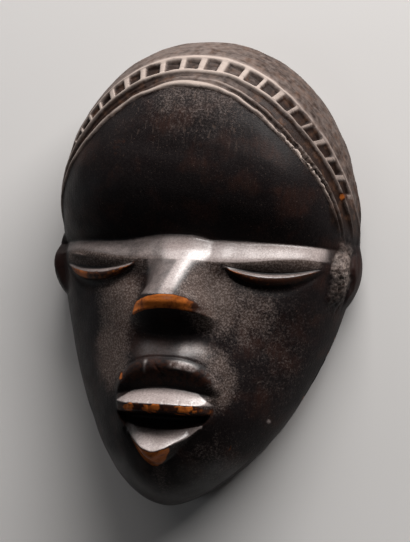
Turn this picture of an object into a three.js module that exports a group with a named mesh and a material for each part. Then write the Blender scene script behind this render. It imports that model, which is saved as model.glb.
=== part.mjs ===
import * as THREE from "three";

// Millimetres. The mask lies on its flat back rim: x across, y towards the crown, z out of the face.

// plan outline, round a middle point at eye level
const middleY = 12;
const halfWidth = 44.2;
const crownReach = 54.5;
const chinReach = 78.1;
const crownRoundness = 2.12;
const jawRoundnessAcross = 1.75;
const jawRoundnessAlong = 1.6;
// the lower face is carved a little to one side: y, sideways shift
const leanAt = [-65, -52, -42, -30, -15, 0, 20, 66];
const leanBy = [-4.2, -1.8, -0.5, 0, 0.6, 0.8, 0.3, 0];

// heights of the front
const foreheadHeight = 39;
const lowerFaceHeight = 33.6;
const foreheadSetBack = 8;
const browLine = 9.3;
const browRise = 3.4;

// eyes
const eyeCentre = 25.5;
const eyeHalf = 12.4;
const slitDepth = 1.1;
const lidThickness = 3.7;
// share of the lid's thickness below the slit, height
const lidAtShare = [0, 0.08, 0.2, 0.34, 0.55, 0.74, 0.84, 1.1, 1.5, 2.4];
const lidBy = [-1.1, -0.9, 0.9, 1.5, 1.4, 0.7, -1.1, -1.15, -0.5, 0];

// nose: y, half width / y, ridge height
const noseAt = [-21, -14, -10, -6, 0, 6, 11];
const noseHalfBy = [13.6, 13.1, 11.8, 9.9, 9, 8.6, 9.5];
const ridgeAt = [-20, -12.1, -10.6, -8.7, -6.6, 0, 5, 8.6];
const ridgeBy = [40.6, 40.7, 41.7, 42, 41, 37, 33.5, 28.3];
const tipLine = -12.1;
const noseBase = -19.6;

// mouth
const mouthHalf = 16;
const lowerLipHalf = 11.5;

// hair band, distances measured over the surface from the hairline
const hairlineAtCrown = 0.705;
const hairlineSideways = 0.218;
const notchCount = 23;
const notchArc = 76;
const notchDepth = 1.3;
const notchRowWidth = 5.6;
const notchRowStart = 5.3;
const notchRowWidening = 2.4;

// ears
const earMiddle = 1.5;
const earHalf = 9;

// back
const rimWidth = 6.5;
const hollowDepth = 17;

// mesh
const acrossCount = 44;
const ringCount = 120;

const clamp = (v, low, high) => Math.min(high, Math.max(low, v));
const mix = (a, b, t) => a + (b - a) * t;

function step(from, to, v) {
  const t = clamp((v - from) / (to - from), 0, 1);
  return t * t * (3 - 2 * t);
}

function bump(v, centre, half) {
  const t = clamp(Math.abs(v - centre) / half, 0, 1);
  return (1 - t * t) ** 2;
}

function lookup(v, at, by) {
  if (v <= at[0]) return by[0];
  for (let i = 1; i < at.length; i++) {
    if (v <= at[i]) return mix(by[i - 1], by[i], (v - at[i - 1]) / (at[i] - at[i - 1]));
  }
  return by[by.length - 1];
}

// the higher of two surfaces with a small fillet where they meet
function joined(a, b, fillet) {
  const h = clamp(0.5 + (0.5 * (a - b)) / fillet, 0, 1);
  return mix(b, a, h) + fillet * h * (1 - h);
}

const lean = (y) => lookup(y, leanAt, leanBy);

function outlineRadius(angle) {
  const c = Math.abs(Math.cos(angle));
  const s = Math.sin(angle);
  let low = 0;
  let high = 120;
  for (let i = 0; i < 40; i++) {
    const r = (low + high) / 2;
    const across = (r * c) / halfWidth;
    const upper = across ** crownRoundness + ((r * s) / crownReach) ** crownRoundness;
    const lower = across ** jawRoundnessAcross + ((-r * s) / chinReach) ** jawRoundnessAlong;
    if ((s >= 0 ? upper : lower) < 1) low = r;
    else high = r;
  }
  return (low + high) / 2;
}

const wallTop = (angle) => {
  const s = Math.sin(angle);
  return 5 + 7 * clamp(s, 0, 1) ** 2 + 8 * clamp(-s, 0, 1) ** 4;
};

const rimInset = (angle) => {
  const s = Math.sin(angle);
  return 1.2 + 3.6 * step(0.05, 0.6, s) + 2.6 * step(0.05, 0.7, -s);
};

const hairline = (angle) => hairlineAtCrown + hairlineSideways * Math.abs(Math.cos(angle)) ** 5;
const ringStart = (angle) => {
  const s = Math.sin(angle);
  return mix(0.9 + 0.05 * clamp(-s, 0, 1) ** 12, hairline(angle), step(-0.15, 0, s));
};

function polar(x, y) {
  const angle = Math.atan2(y - middleY, x);
  return { angle, share: Math.hypot(x, y - middleY) / outlineRadius(angle) };
}

const browAt = (x) => browLine - (x > 0 ? 1.1 * step(2, 9, x) : 1.8 * step(3, 22, -x));

function foreheadAt(x, y) {
  const { angle, share } = polar(x, y);
  const p = clamp(share, 0, 1);
  const base = wallTop(angle);
  const back = foreheadSetBack * (Math.max(0, 30 - y) / 20.4) ** 2 * (1 - 0.35 * p ** 4);
  const height = base + (foreheadHeight - base) * (1 - p ** 3.2) ** 0.5 - back;
  return Math.max(height, base + 14 * (1 - p) ** 0.5);
}

function domeAt(x, y) {
  const { angle, share } = polar(x, y);
  const p = clamp(share, 0, 1);
  const down = clamp(-Math.sin(angle), 0, 1) ** 6;
  const base = wallTop(angle);
  return base + (lowerFaceHeight + down - base) * (1 - p ** (2.4 + 2 * down)) ** (0.5 - 0.02 * down);
}

const slitAt = (x) => {
  const ax = Math.abs(x);
  const curve = 1.7 * Math.min(1.3, ((ax - eyeCentre) / 12) ** 2);
  return curve - (x > 0 ? 0.95 - 0.05 * Math.max(0, ax - 12) : 0.6);
};
const bandEdgeAt = (ax) => 2.2 + 2.2 * step(14, 36, ax);
const lidAt = (ax) => 0.9 + lidThickness * (1 - clamp(Math.abs(ax - eyeCentre) / eyeHalf, 0, 1) ** 2.4);
const noseHalfAt = (y) => lookup(y, noseAt, noseHalfBy);
const tipAt = (ax) => tipLine - 2.4 * clamp(ax / 12.8, 0, 1) ** 2;
const noseBaseAt = (ax) => noseBase + 3.4 * clamp(ax / 12.8, 0, 1) ** 2.5;

function noseAbove(ax, y) {
  const foot = lookup(y, [-14, -4, 4, 6, 8.6], [28.5, 28, 28.6, 27.6, 26.8]);
  const u = clamp(ax / noseHalfAt(y), 0, 1);
  const square = step(-4, -12, y);
  return foot + (lookup(y, ridgeAt, ridgeBy) - foot) * (1 - u ** (2.2 + 1.2 * square)) ** (0.66 - 0.2 * square);
}

// lines of the mouth from the upper lip down to the chin: y and height over x
function mouthStations(x) {
  // the upper lip reaches further to the right than the lower one
  const upper = Math.abs(x) * (x > 0 ? 0.95 : 1);
  const ax = Math.abs(x) * (x > 0 ? 1.09 : 1);
  const m = clamp(upper / mouthHalf, 0, 1.2);
  const n = clamp(ax / lowerLipHalf, 0, 1);
  const fall = (half, power) => clamp(ax / half, 0, 1.25) ** power;
  const upperFall = (half, power) => clamp(upper / half, 0, 1.25) ** power;
  const roundEnd = fall(14, 6);
  const lipEdge = -51.8 + 7.2 * n ** 1.6;
  const front = 1.9 * Math.max(0.1, 1 - (ax / 6.5) ** 2);
  return [
    [-25.6 - 11.5 * (1 - (1 - Math.min(1, upper / 15.7) ** 2.8) ** 0.5), 37.7 - 6 * upperFall(16, 2.6)],
    [-30.8 - 5 * m ** 2, 37.2 - 5 * upperFall(16, 2.6)],
    [-33.8 - 2.6 * m ** 1.7, 35 - 3 * upperFall(16, 2.2)],
    [-38.7 + 0.9 * roundEnd, 39.8 - 5.6 * fall(14.6, 2.8)],
    [-40.9 + 0.6 * roundEnd, 39 - 5.6 * fall(14.6, 2.8)],
    [-41.5 + 0.5 * roundEnd, 30.5 - 2 * fall(14, 2)],
    [-44.7 + 2.2 * fall(12.5, 2.2), 33.2 - 4.5 * fall(14, 2)],
    [lipEdge, 38.2 - 11 * fall(12.2, 2.2)],
    [lipEdge - front, 36.8 - 11 * fall(12.2, 2.2)],
    [lipEdge - front - 0.8, null],
    [lipEdge - front - 2.4, null],
  ];
}

const mouthHalfAt = [-56, -50, -46.5, -44.2, -41.5, -38.5, -34, -27, -20];
const mouthHalfBy = [11.2, 11.2, 11.2, 11.5, 13.4, 14.2, 15.1, 15.6, 15];

// height of the carved front over a point of the plan
function faceHeight(px, y) {
  const x = px - lean(y);
  const ax = Math.abs(x);
  const brow = browAt(x);
  if (y > brow) return foreheadAt(x, y);

  let z = domeAt(x, y);
  z -= 1.8 * Math.exp(-(((ax - 25) / 11) ** 2) - ((y + 20) / 14) ** 2);
  z += 3.4 * Math.exp(-((x / 17) ** 2) - ((y + 39) / 14.5) ** 2);
  z -= 1.5 * Math.exp(-(((ax - 12) / 5.5) ** 2) - ((y + 3) / 5.5) ** 2);

  // sloping band under the brow, then back down to the eye
  const bandEdge = bandEdgeAt(ax);
  const crease = foreheadAt(x, brow) - 0.5 * step(44, 41, ax);
  const edgeHeight = crease + (browRise - 1.2 * step(26, 40, ax)) * step(44.4, 42.5, ax);
  const s = (brow - y) / (brow - bandEdge);
  if (s < 1) z = mix(crease, edgeHeight, s * (1.2 - 0.2 * s));
  else z += (edgeHeight - z) * (1 - step(0, 5, bandEdge - y));

  const slit = slitAt(x);
  const below = slit - y;
  const thick = lidAt(ax);
  const swell = (thick - 0.9) / lidThickness;
  const inEye = step(11, 14.5, ax) * step(39, 36, ax) * (0.3 + 0.7 * swell);
  const lid = below < 0
    ? -slitDepth * clamp(1 - (y - slit) / (bandEdge - slit), 0, 1) ** 2.4
    : lookup(below / thick, lidAtShare, lidBy);
  z += inEye * lid;

  const tip = tipAt(ax);
  const noseFoot = noseBaseAt(ax);
  if (ax < noseHalfAt(y) && y < 8.6) {
    if (y >= tip) {
      z = joined(z, noseAbove(ax, y), lookup(y, [-13, -8, 2, 8], [0.9, 1.8, 2.4, 2.6]));
    } else if (y > noseFoot) {
      const t = ((tip - y) / (tip - noseFoot)) ** 0.8;
      z = Math.max(z, mix(noseAbove(ax, tip), z, t));
    }
  }

  if (y > -19.2 || y < -60) return z;
  const stations = mouthStations(x);
  stations[7][1] = Math.max(stations[7][1], z + 0.3);
  stations[8][1] = Math.max(stations[8][1], z + 0.2);
  stations[9][1] = z - 0.2;
  stations[10][1] = z;
  let mouth = z;
  const [lipTop, lipTopHeight] = stations[0];
  const rise = 5.6 + 3.2 * clamp(ax / 13, 0, 1) ** 2;
  if (y >= lipTop) {
    const t = clamp((lipTop + rise - y) / rise, 0, 1);
    mouth = mix(z, Math.max(lipTopHeight, z), t * t * (1.6 - 0.6 * t));
  } else {
    for (let i = 1; i < stations.length; i++) {
      const [y0, h0] = stations[i - 1];
      const [y1, h1] = stations[i];
      if (y < y0 && y >= y1) mouth = mix(h0, h1, (y0 - y) / (y0 - y1));
    }
  }
  const half = lookup(y, mouthHalfAt, mouthHalfBy) / (x > 0 ? mix(1.09, 0.95, step(-38, -32, y)) : 1);
  return mix(z, mouth, step(half + 0.7, half - 0.9, ax));
}

// profile outwards from the hairline or jaw line, over the edge and down the wall to the back rim
const profiles = new Map();
function profile(angle) {
  if (profiles.has(angle)) return profiles.get(angle);
  const radius = outlineRadius(angle);
  const c = Math.cos(angle);
  const s = Math.sin(angle);
  const start = ringStart(angle);
  const points = [];
  for (let i = 0; i <= 40; i++) {
    const r = radius * (start + (1 - start) * Math.sin((i / 40) * Math.PI * 0.5));
    const y = middleY + r * s;
    const x = r * c + lean(y);
    points.push([x, y, i === 40 ? wallTop(angle) : faceHeight(x, y)]);
  }
  for (let i = 1; i <= 20; i++) {
    const t = i / 20;
    const r = radius - rimInset(angle) * t ** 1.6;
    const y = middleY + r * s;
    points.push([r * c + lean(y), y, wallTop(angle) * (1 - t)]);
  }
  const along = [0];
  for (let i = 1; i < points.length; i++) {
    const [a, b] = [points[i - 1], points[i]];
    along.push(along[i - 1] + Math.hypot(b[0] - a[0], b[1] - a[1], b[2] - a[2]));
  }
  const found = { points, along, length: along[along.length - 1], c, s };
  profiles.set(angle, found);
  return found;
}

function onProfile(angle, distance, lift) {
  const { points, along, length, c, s } = profile(angle);
  const d = clamp(distance, 0, length);
  let i = 1;
  while (i < along.length - 1 && along[i] < d) i++;
  const t = (d - along[i - 1]) / (along[i] - along[i - 1]);
  const [a, b] = [points[i - 1], points[i]];
  const outward = [-(b[2] - a[2]), Math.hypot(b[0] - a[0], b[1] - a[1])];
  const turned = (b[0] - a[0]) * c + (b[1] - a[1]) * s < 0 ? -1 : 1;
  const size = Math.hypot(...outward) || 1;
  const push = (lift * outward[0]) / size;
  return [
    mix(a[0], b[0], t) + push * c,
    mix(a[1], b[1], t) + push * s,
    mix(a[2], b[2], t) + (lift * turned * outward[1]) / size,
  ];
}

const rowStart = (angle) => {
  const c = Math.cos(angle);
  return notchRowStart + (c > 0 ? notchRowWidening * c : -0.6 * c);
};

// rings outwards from the hairline: distance, share of the way down where there is no hair, relief
const bandRings = [
  [() => 0, 0, 0],
  [() => 0.6, 0.06, 0.55],
  [() => 1.5, 0.12, -0.5],
  [() => 2.5, 0.2, 0.35],
  [() => 3.5, 0.27, -0.75],
  [(a) => rowStart(a) - 0.5, 0.34, -0.75],
];
const notchRings = [
  [(a) => rowStart(a) + 0.3, 0.4, 0.35, false],
  [(a) => rowStart(a) + 0.9, 0.46, 0, false],
  [(a) => rowStart(a) + 1.3, 0.52, 0, true],
  [(a) => rowStart(a) + notchRowWidth - 0.7, 0.6, 0, true],
  [(a) => rowStart(a) + notchRowWidth - 0.3, 0.66, 0, false],
  [(a) => rowStart(a) + notchRowWidth + 0.4, 0.72, 0.35, false],
];
const crownRings = [
  [(a) => rowStart(a) + notchRowWidth + 1.6, 0.78, 0],
  [(a) => mix(rowStart(a) + notchRowWidth + 1.6, profile(a).length, 0.33), 0.86, 0],
  [(a) => mix(rowStart(a) + notchRowWidth + 1.6, profile(a).length, 0.66), 0.93, 0],
  [(a) => profile(a).length, 1, 0],
];

function earLift(angle, distance, point) {
  const length = profile(angle).length;
  const reach = Math.cos(angle) > 0 ? 2 : 2.7;
  const over = step(1.5, 4, distance) * clamp(point[2] / 5, 0, 1);
  const inside = Math.abs(Math.cos(angle)) > 0.7 ? 1 : 0;
  return inside * reach * over * Math.sqrt(bump(point[1], earMiddle, earHalf)) * step(length, length - 2, distance);
}

const positions = [];
const triangles = [];

function vertex(p) {
  positions.push(...p);
  return positions.length / 3 - 1;
}

function angleOf(i) {
  const [x, y] = [positions[3 * i], positions[3 * i + 1]];
  return Math.atan2(y - middleY, x - lean(y));
}

// joins two closed loops that run the same way round, whatever their numbers of points
function bridge(inner, outer, innerTurn, outerTurn) {
  let i = 0;
  let j = 0;
  while (i < inner.length || j < outer.length) {
    const a = inner[i % inner.length];
    const b = outer[j % outer.length];
    const nextInner = i < inner.length ? innerTurn[i + 1] : Infinity;
    const nextOuter = j < outer.length ? outerTurn[j + 1] : Infinity;
    if (nextOuter <= nextInner) {
      triangles.push(a, b, outer[(j + 1) % outer.length]);
      j++;
    } else {
      triangles.push(a, b, inner[(i + 1) % inner.length]);
      i++;
    }
  }
}

// half width of the inner face at a height of the plan
function innerHalf(y) {
  let low = 0;
  let high = 60;
  for (let i = 0; i < 24; i++) {
    const x = (low + high) / 2;
    const { angle, share } = polar(x, y);
    if (share < ringStart(angle)) low = x;
    else high = x;
  }
  return low - 0.9;
}
const browHalf = innerHalf(browLine) - 0.4;

function hairlineOver(x) {
  for (let y = 55; y > browLine; y -= 0.05) {
    const { angle, share } = polar(x, y);
    if (share < ringStart(angle)) return y - 0.8;
  }
  return browLine;
}

function chinOver(x) {
  for (let y = -45; y > -70; y -= 0.05) {
    const { angle, share } = polar(x, y);
    if (share > ringStart(angle)) return y + 0.8;
  }
  return -62;
}

// lines across the face below the brow, each as y over x
function eyeLine(k) {
  return (x) => {
    const ax = Math.abs(x);
    const slit = slitAt(x);
    const lid = lidAt(ax);
    const corner = 1 - (lid - 0.9) / lidThickness;
    const eye = [
      bandEdgeAt(ax) + 0.6,
      mix(bandEdgeAt(ax), slit, 0.5),
      slit,
      slit - 0.08 * lid,
      slit - 0.24 * lid,
      slit - 0.5 * lid,
      slit - 0.74 * lid,
      slit - 0.84 * lid,
      slit - 1.1 * lid - 0.7 * corner,
      slit - 1.7 * lid - 2.4 * corner,
    ][k];
    return mix(mix(7.6, -8.4, k / 9), eye, step(8, 14, ax) * step(44, 39, ax));
  };
}

function noseLine(k) {
  return (x) => {
    const ax = Math.abs(x);
    const tip = tipAt(ax);
    const foot = noseBaseAt(ax);
    const line = [tip + 1.5, tip, tip - 0.4, mix(tip, foot, 0.5), foot][k];
    return mix(mix(-10.9, -19.4, k / 4), line, step(16, 12.8, ax));
  };
}

function mouthLine(k) {
  return (x) => {
    const lines = mouthStations(x).map(([y]) => y);
    lines.splice(7, 0, mix(lines[6], lines[7], 0.5));
    for (let i = lines.length - 2; i >= 0; i--) lines[i] = Math.max(lines[i], lines[i + 1] + 0.15);
    lines.unshift(mix(-20.4, lines[0], 0.35), mix(-20.4, lines[0], 0.72));
    const even = mix(-21.5, -52, k / (lines.length - 1));
    return mix(even, lines[k], step(24, 15.8, Math.abs(x)));
  };
}

const faceLines = [];
for (let k = 0; k < 10; k++) faceLines.push(eyeLine(k));
faceLines.push(() => -9.5);
for (let k = 0; k < 5; k++) faceLines.push(noseLine(k));
for (let k = 0; k < 14; k++) faceLines.push(mouthLine(k));

// one column of the inner face from the hairline down to the chin
function column(u) {
  const across = u * browHalf;
  const brow = browAt(across);
  const hair = hairlineOver(across);
  const points = [];
  for (const t of [1, 0.9, 0.78, 0.64, 0.5, 0.36, 0.22, 0.09, 0]) points.push([across, mix(brow, hair, t)]);
  for (const line of faceLines) {
    let y = line(across);
    let x = across;
    for (let i = 0; i < 30; i++) {
      x = u * Math.min(browHalf, innerHalf(y));
      y = mix(y, line(x), 0.5);
    }
    points.push([x, y]);
  }
  const [xLow, yLow] = points[points.length - 1];
  for (const t of [0.35, 0.7, 1]) points.push([xLow, mix(yLow, chinOver(xLow), t)]);
  return points.map(([x, y]) => [x + lean(y), y]);
}

const columns = [];
for (let i = 0; i <= acrossCount; i++) {
  const t = (2 * i) / acrossCount - 1;
  columns.push(column(t).map(([x, y]) => vertex([x, y, faceHeight(x, y)])));
}
const rowCount = columns[0].length;
for (let i = 0; i < acrossCount; i++) {
  for (let k = 0; k < rowCount - 1; k++) {
    const [a, b, c, d] = [columns[i][k], columns[i][k + 1], columns[i + 1][k + 1], columns[i + 1][k]];
    triangles.push(a, b, c, a, c, d);
  }
}

// counter-clockwise edge of that block, starting beside the chin
const edge = [];
for (let k = rowCount - 1; k > 0; k--) edge.push(columns[acrossCount][k]);
for (let i = acrossCount; i > 0; i--) edge.push(columns[i][0]);
for (let k = 0; k < rowCount - 1; k++) edge.push(columns[0][k]);
for (let i = 0; i < acrossCount; i++) edge.push(columns[i][rowCount - 1]);

function turnsOf(loop, from) {
  const turns = loop.map((v) => angleOf(v));
  let lift = 0;
  for (let i = 0; i < turns.length; i++) {
    turns[i] += lift;
    while (i > 0 && turns[i] < turns[i - 1] - Math.PI) {
      turns[i] += 2 * Math.PI;
      lift += 2 * Math.PI;
    }
  }
  turns.push(turns[0] + 2 * Math.PI);
  return turns.map((t) => t - from);
}

const degrees = Math.PI / 180;
const loopStart = -74;
const plainAngles = [];
for (let i = 0; i < ringCount; i++) plainAngles.push(loopStart * degrees + (2 * Math.PI * i) / ringCount);

const notchAngles = [];
for (let a = loopStart; a < 88 - notchArc; a += 4) notchAngles.push(a * degrees);
for (let n = 0; n < notchCount; n++) {
  for (const part of [0, 0.18, 0.36, 0.9]) {
    const t = (2 * (n + part)) / notchCount - 1;
    notchAngles.push((90 + notchArc * (t + 0.1 * (1 - t * t) + 0.045 * Math.sin(Math.PI * t))) * degrees);
  }
}
for (let a = 90 + notchArc; a < loopStart + 358; a += 4) notchAngles.push(a * degrees);

function ring(angles, [distanceAt, share, relief, pit]) {
  return angles.map((angle, i) => {
    const hair = step(-0.1, 0.03, Math.sin(angle));
    const distance = mix(share * profile(angle).length, distanceAt(angle), hair);
    let lift = relief * step(-0.02, 0.15, Math.sin(angle));
    const first = angles.findIndex((a) => a > (90 - notchArc) * degrees - 1e-9);
    if (pit) {
      const part = (i - first) % 4;
      if (i >= first && i - first < 4 * notchCount && part >= 2) lift -= notchDepth;
    }
    const bare = onProfile(angle, distance, 0);
    lift += earLift(angle, distance, bare);
    return vertex(onProfile(angle, distance, lift));
  });
}

let loop = edge;
let turns = turnsOf(edge, 0);
function grow(next, nextTurns) {
  bridge(loop, next, turns, nextTurns);
  loop = next;
  turns = nextTurns;
}

const plainTurns = [...plainAngles, plainAngles[0] + 2 * Math.PI];
const notchTurns = [...notchAngles, notchAngles[0] + 2 * Math.PI];
for (const r of bandRings) grow(ring(plainAngles, r), plainTurns);
for (const r of notchRings) grow(ring(notchAngles, r), notchTurns);
for (const r of crownRings) grow(ring(plainAngles, r), plainTurns);

// flat rim and hollow back
function backLoop(count, share, z) {
  const angles = [];
  for (let i = 0; i < count; i++) angles.push(loopStart * degrees + (2 * Math.PI * i) / count);
  const made = angles.map((angle) => {
    const r = (outlineRadius(angle) - rimInset(angle) - rimWidth) * share;
    const y = middleY + r * Math.sin(angle);
    return vertex([r * Math.cos(angle) + lean(y), y, z]);
  });
  return [made, [...angles, angles[0] + 2 * Math.PI]];
}
grow(...backLoop(72, 1, 0));
for (const [count, share] of [[60, 0.97], [48, 0.87], [36, 0.68], [24, 0.4]]) {
  grow(...backLoop(count, share, hollowDepth * (1 - share ** 2.6) ** 0.55));
}
const middle = vertex([lean(middleY), middleY, hollowDepth]);
loop.forEach((a, i) => triangles.push(a, middle, loop[(i + 1) % loop.length]));

// centre the outline on the origin
const xs = positions.filter((_, i) => i % 3 === 0);
const ys = positions.filter((_, i) => i % 3 === 1);
const shiftX = (Math.min(...xs) + Math.max(...xs)) / 2;
const shiftY = (Math.min(...ys) + Math.max(...ys)) / 2;
for (let i = 0; i < positions.length; i += 3) {
  positions[i] -= shiftX;
  positions[i + 1] -= shiftY;
}

const geometry = new THREE.BufferGeometry();
geometry.setAttribute("position", new THREE.Float32BufferAttribute(positions, 3));
geometry.setIndex(triangles);
geometry.computeVertexNormals();

const wood = new THREE.MeshStandardMaterial({ color: 0x33241b, roughness: 0.45, metalness: 0 });
const mask = new THREE.Mesh(geometry, wood);
mask.name = "carved_mask";

const part = new THREE.Group();
part.name = "miniature_mask";
part.add(mask);

export default part;
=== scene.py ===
import math

import bpy
import numpy as np
from mathutils import Matrix, Vector


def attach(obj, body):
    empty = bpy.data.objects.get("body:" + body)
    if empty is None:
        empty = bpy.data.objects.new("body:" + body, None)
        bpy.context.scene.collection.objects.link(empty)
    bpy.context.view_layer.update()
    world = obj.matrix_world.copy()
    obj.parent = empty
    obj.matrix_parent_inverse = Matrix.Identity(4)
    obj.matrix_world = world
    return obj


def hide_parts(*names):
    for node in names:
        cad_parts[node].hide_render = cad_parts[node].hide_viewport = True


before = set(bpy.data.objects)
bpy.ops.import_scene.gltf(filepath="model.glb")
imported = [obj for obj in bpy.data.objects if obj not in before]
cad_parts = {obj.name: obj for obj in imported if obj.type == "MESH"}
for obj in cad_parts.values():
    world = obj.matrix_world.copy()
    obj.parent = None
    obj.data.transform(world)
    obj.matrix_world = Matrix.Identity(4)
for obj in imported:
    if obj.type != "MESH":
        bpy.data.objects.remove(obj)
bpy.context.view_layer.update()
print("frame loaded")

# All carving below is worked out in millimetres: x across, y to the crown, z out of the face.

maskForm = {
    "middleY": 12.0,  # the outline is drawn round this height
    "halfWidth": 44.2, "crownReach": 54.5, "chinReach": 78.1, "crownRoundness": 2.12,
    "jawRoundness": (1.75, 1.6),
    "leanAt": (-65, -52, -42, -30, -15, 0, 20, 66),  # the lower face leans to one side
    "leanBy": (-4.2, -1.8, -0.5, 0, 0.6, 0.8, 0.3, 0), "foreheadHeight": 39.0,
    "foreheadSetBack": 8.0, "lowerFaceHeight": 33.6, "browLine": 9.3, "browRise": 3.4,
    "browDrop": (1.1, 1.8),  # to the right and to the left
    "bandEdge": 2.2, "bandEdgeRise": 2.2,
    "swells": (  # height, middle and size: hollow cheek, full mouth, hollow beside the nose
        (-1.8, 25, -20, 11, 14), (3.4, 0, -39, 17, 14.5), (-1.5, 12, -3, 5.5, 5.5),
    ),
}

wallForm = {  # height of the side wall's top, and how far the rim at its foot lies inside it
    "height": 5, "crownRise": 7, "chinRise": 8, "inset": 1.2, "crownInset": 3.6, "jawInset": 2.6,
}

eyeForm = {
    "centre": 25.5, "half": 12.4, "slitDepth": 1.1, "lidThickness": 3.7, "slitSag": 1.7,
    "slitDrop": (0.95, 0.6),  # right and left
    # shares of the lid's thickness below the slit, and its height there
    "lidAtShare": (0, 0.08, 0.2, 0.34, 0.55, 0.74, 0.84, 1.1, 1.5, 2.4),
    "lidHeight": (-1.1, -0.9, 0.9, 1.5, 1.4, 0.7, -1.1, -1.15, -0.5, 0),
    # rows of the mesh on the lid: share of its thickness below the slit, drop at the corners
    "rows": ((0, 0), (0.08, 0), (0.24, 0), (0.5, 0), (0.74, 0), (0.84, 0), (1.1, 0.7), (1.7, 2.4)),
}

noseForm = {
    "at": (-21, -14, -10, -6, 0, 6, 11),
    "half": (13.6, 13.1, 11.8, 9.9, 9, 8.6, 9.5),
    "ridgeAt": (-20, -12.1, -10.6, -8.7, -6.6, 0, 5, 8.6),
    "ridge": (40.6, 40.7, 41.7, 42, 41, 37, 33.5, 28.3),
    "tip": -12.1, "tipSag": 2.4, "base": -19.6, "baseRise": 3.4, "wing": 12.8,
}

mouthForm = {
    "half": 16.0, "lowerHalf": 11.5,
    "upperRight": 0.95,  # the upper lip reaches further to the right, the lower one less far
    "lowerRight": 1.09,
    "lipRoll": 0.9,  # how full the upper lip is
    "reachAt": (-56, -50, -46.5, -44.2, -41.5, -38.5, -34, -27, -20),
    "reach": (11.2, 11.2, 11.2, 11.5, 13.4, 14.2, 15.1, 15.6, 15),
}

hairForm = {
    "crownShare": 0.705, "sideShare": 0.218, "notchCount": 23, "notchArc": 76.0,
    "notchDepth": 1.35, "rowWidth": 5.6, "rowStart": 5.3, "rowWidening": 2.4,
    # distances from the carved edge and its heights there: two ridges, one, and at the crown
    "edges": (
        ((0, 0.5, 1.1, 1.5, 2.0, 2.5, 3.1, 3.6), (0, 0.6, 0.5, -0.6, -0.55, 0.4, 0.35, -0.3)),
        ((0, 0.5, 1.2, 1.8, 3.6), (0, 0.6, 0.5, -0.5, -0.8)),
        ((0, 0.6, 1.8, 2.3, 2.8, 3.6), (0, 0.6, 0.4, -0.2, 0.2, 0.1)),
    ),
    "edgeWidth": 3.6,
}

earForm = {
    "middle": 1.5, "half": 9.0, "left": 2.7, "right": 2.0,
    "foldAt": (0, 0.8, 2.0, 3.4, 4.8, 5.8, 6.8), "fold": (0, 0.6, 0.7, 0.2, -0.7, -0.6, 0.1),
}

backForm = {"rimWidth": 6.5, "hollowDepth": 17.0}

meshForm = {
    "across": 170, "foreheadRows": 54, "chinRows": 18, "around": 720, "backAround": 360,
    "seam": -74.0,  # where the rings begin
    "lowest": -62.0, "searchStep": 0.05,  # of the inner face, and for finding its edge
    # how many rows lie between one line of the lower face and the next
    "rowSteps": (
        8, 8, 3, 2, 3, 5, 4, 4, 6, 5, 4, 4, 5, 2, 9, 9, 5, 5, 5, 14, 7, 12, 7, 3, 6, 9, 9, 6, 5, 4,
    ),
}


def clamp(v):
    return np.clip(v, 0.0, 1.0)


def step(low, high, v):
    t = clamp((v - low) / (high - low))
    return t * t * (3 - 2 * t)


def plateau(v, rise, full, fall, end):
    # up from rise to full, down again from fall to end
    return step(rise, full, v) * step(end, fall, v)


def mix(a, b, t):
    return a + (b - a) * t


def bump(v, centre, half):
    t = np.clip(np.abs(v - centre) / half, 0.0, 1.0)
    return (1 - t * t) ** 2


def within(low, high, v, soft=0.35):
    return plateau(v, low - soft, low + soft, high - soft, high + soft)


def joined(a, b, fillet):
    h = clamp(0.5 + 0.5 * (a - b) / fillet)
    return mix(b, a, h) + fillet * h * (1 - h)


def ripple(points, size, seed, octaves=3):
    # smooth, seeded unevenness of a hand-cut surface, about -1 to 1
    rng = np.random.default_rng(seed)
    total = np.zeros(points.shape[:-1])
    for octave in range(octaves):
        for _ in range(7):
            way = rng.normal(size=3)
            length = (2 * math.pi / size) * (1.9 ** octave) * rng.uniform(0.6, 1.3)
            way *= length / np.linalg.norm(way)
            total += np.sin(points @ way + rng.uniform(0, 6.28)) * 0.38 / (1.8 ** octave)
    return total / 1.5


def lean(y):
    return np.interp(y, maskForm["leanAt"], maskForm["leanBy"])


def bisect(inside, count, reach, rounds):
    # closes in on the largest value that still lies inside
    low, high = np.zeros(count), np.full(count, reach)
    for _ in range(rounds):
        middle = (low + high) / 2
        good = inside(middle)
        low, high = np.where(good, middle, low), np.where(good, high, middle)
    return low, high


def radiusTable():
    m = maskForm
    crown, (side, chin) = m["crownRoundness"], m["jawRoundness"]
    angles = np.linspace(-math.pi, math.pi, 2881)
    c, s = np.abs(np.cos(angles)), np.sin(angles)

    def inside(r):
        across = r * c / m["halfWidth"]
        upper = across ** crown + (np.maximum(r * s, 0) / m["crownReach"]) ** crown
        lower = across ** side + (np.maximum(-r * s, 0) / m["chinReach"]) ** chin
        return np.where(s >= 0, upper, lower) < 1

    low, high = bisect(inside, len(angles), 120.0, 40)
    return angles, (low + high) / 2


tableAngles, tableRadii = radiusTable()


def outlineRadius(angle):
    wrapped = (angle + math.pi) % (2 * math.pi) - math.pi
    return np.interp(wrapped, tableAngles, tableRadii)


def onPlan(angle, radius):
    y = maskForm["middleY"] + radius * np.sin(angle)
    return radius * np.cos(angle) + lean(y), y


def polar(x, y):
    angle = np.arctan2(y - maskForm["middleY"], x)
    return np.hypot(x, y - maskForm["middleY"]) / outlineRadius(angle), angle


def wallTop(angle):
    s, w = np.sin(angle), wallForm
    return w["height"] + w["crownRise"] * clamp(s) ** 2 + w["chinRise"] * clamp(-s) ** 4


def rimInset(angle):
    s, w = np.sin(angle), wallForm
    return w["inset"] + w["crownInset"] * step(0.05, 0.6, s) + w["jawInset"] * step(0.05, 0.7, -s)


def hairline(angle):
    return hairForm["crownShare"] + hairForm["sideShare"] * np.abs(np.cos(angle)) ** 5


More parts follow.
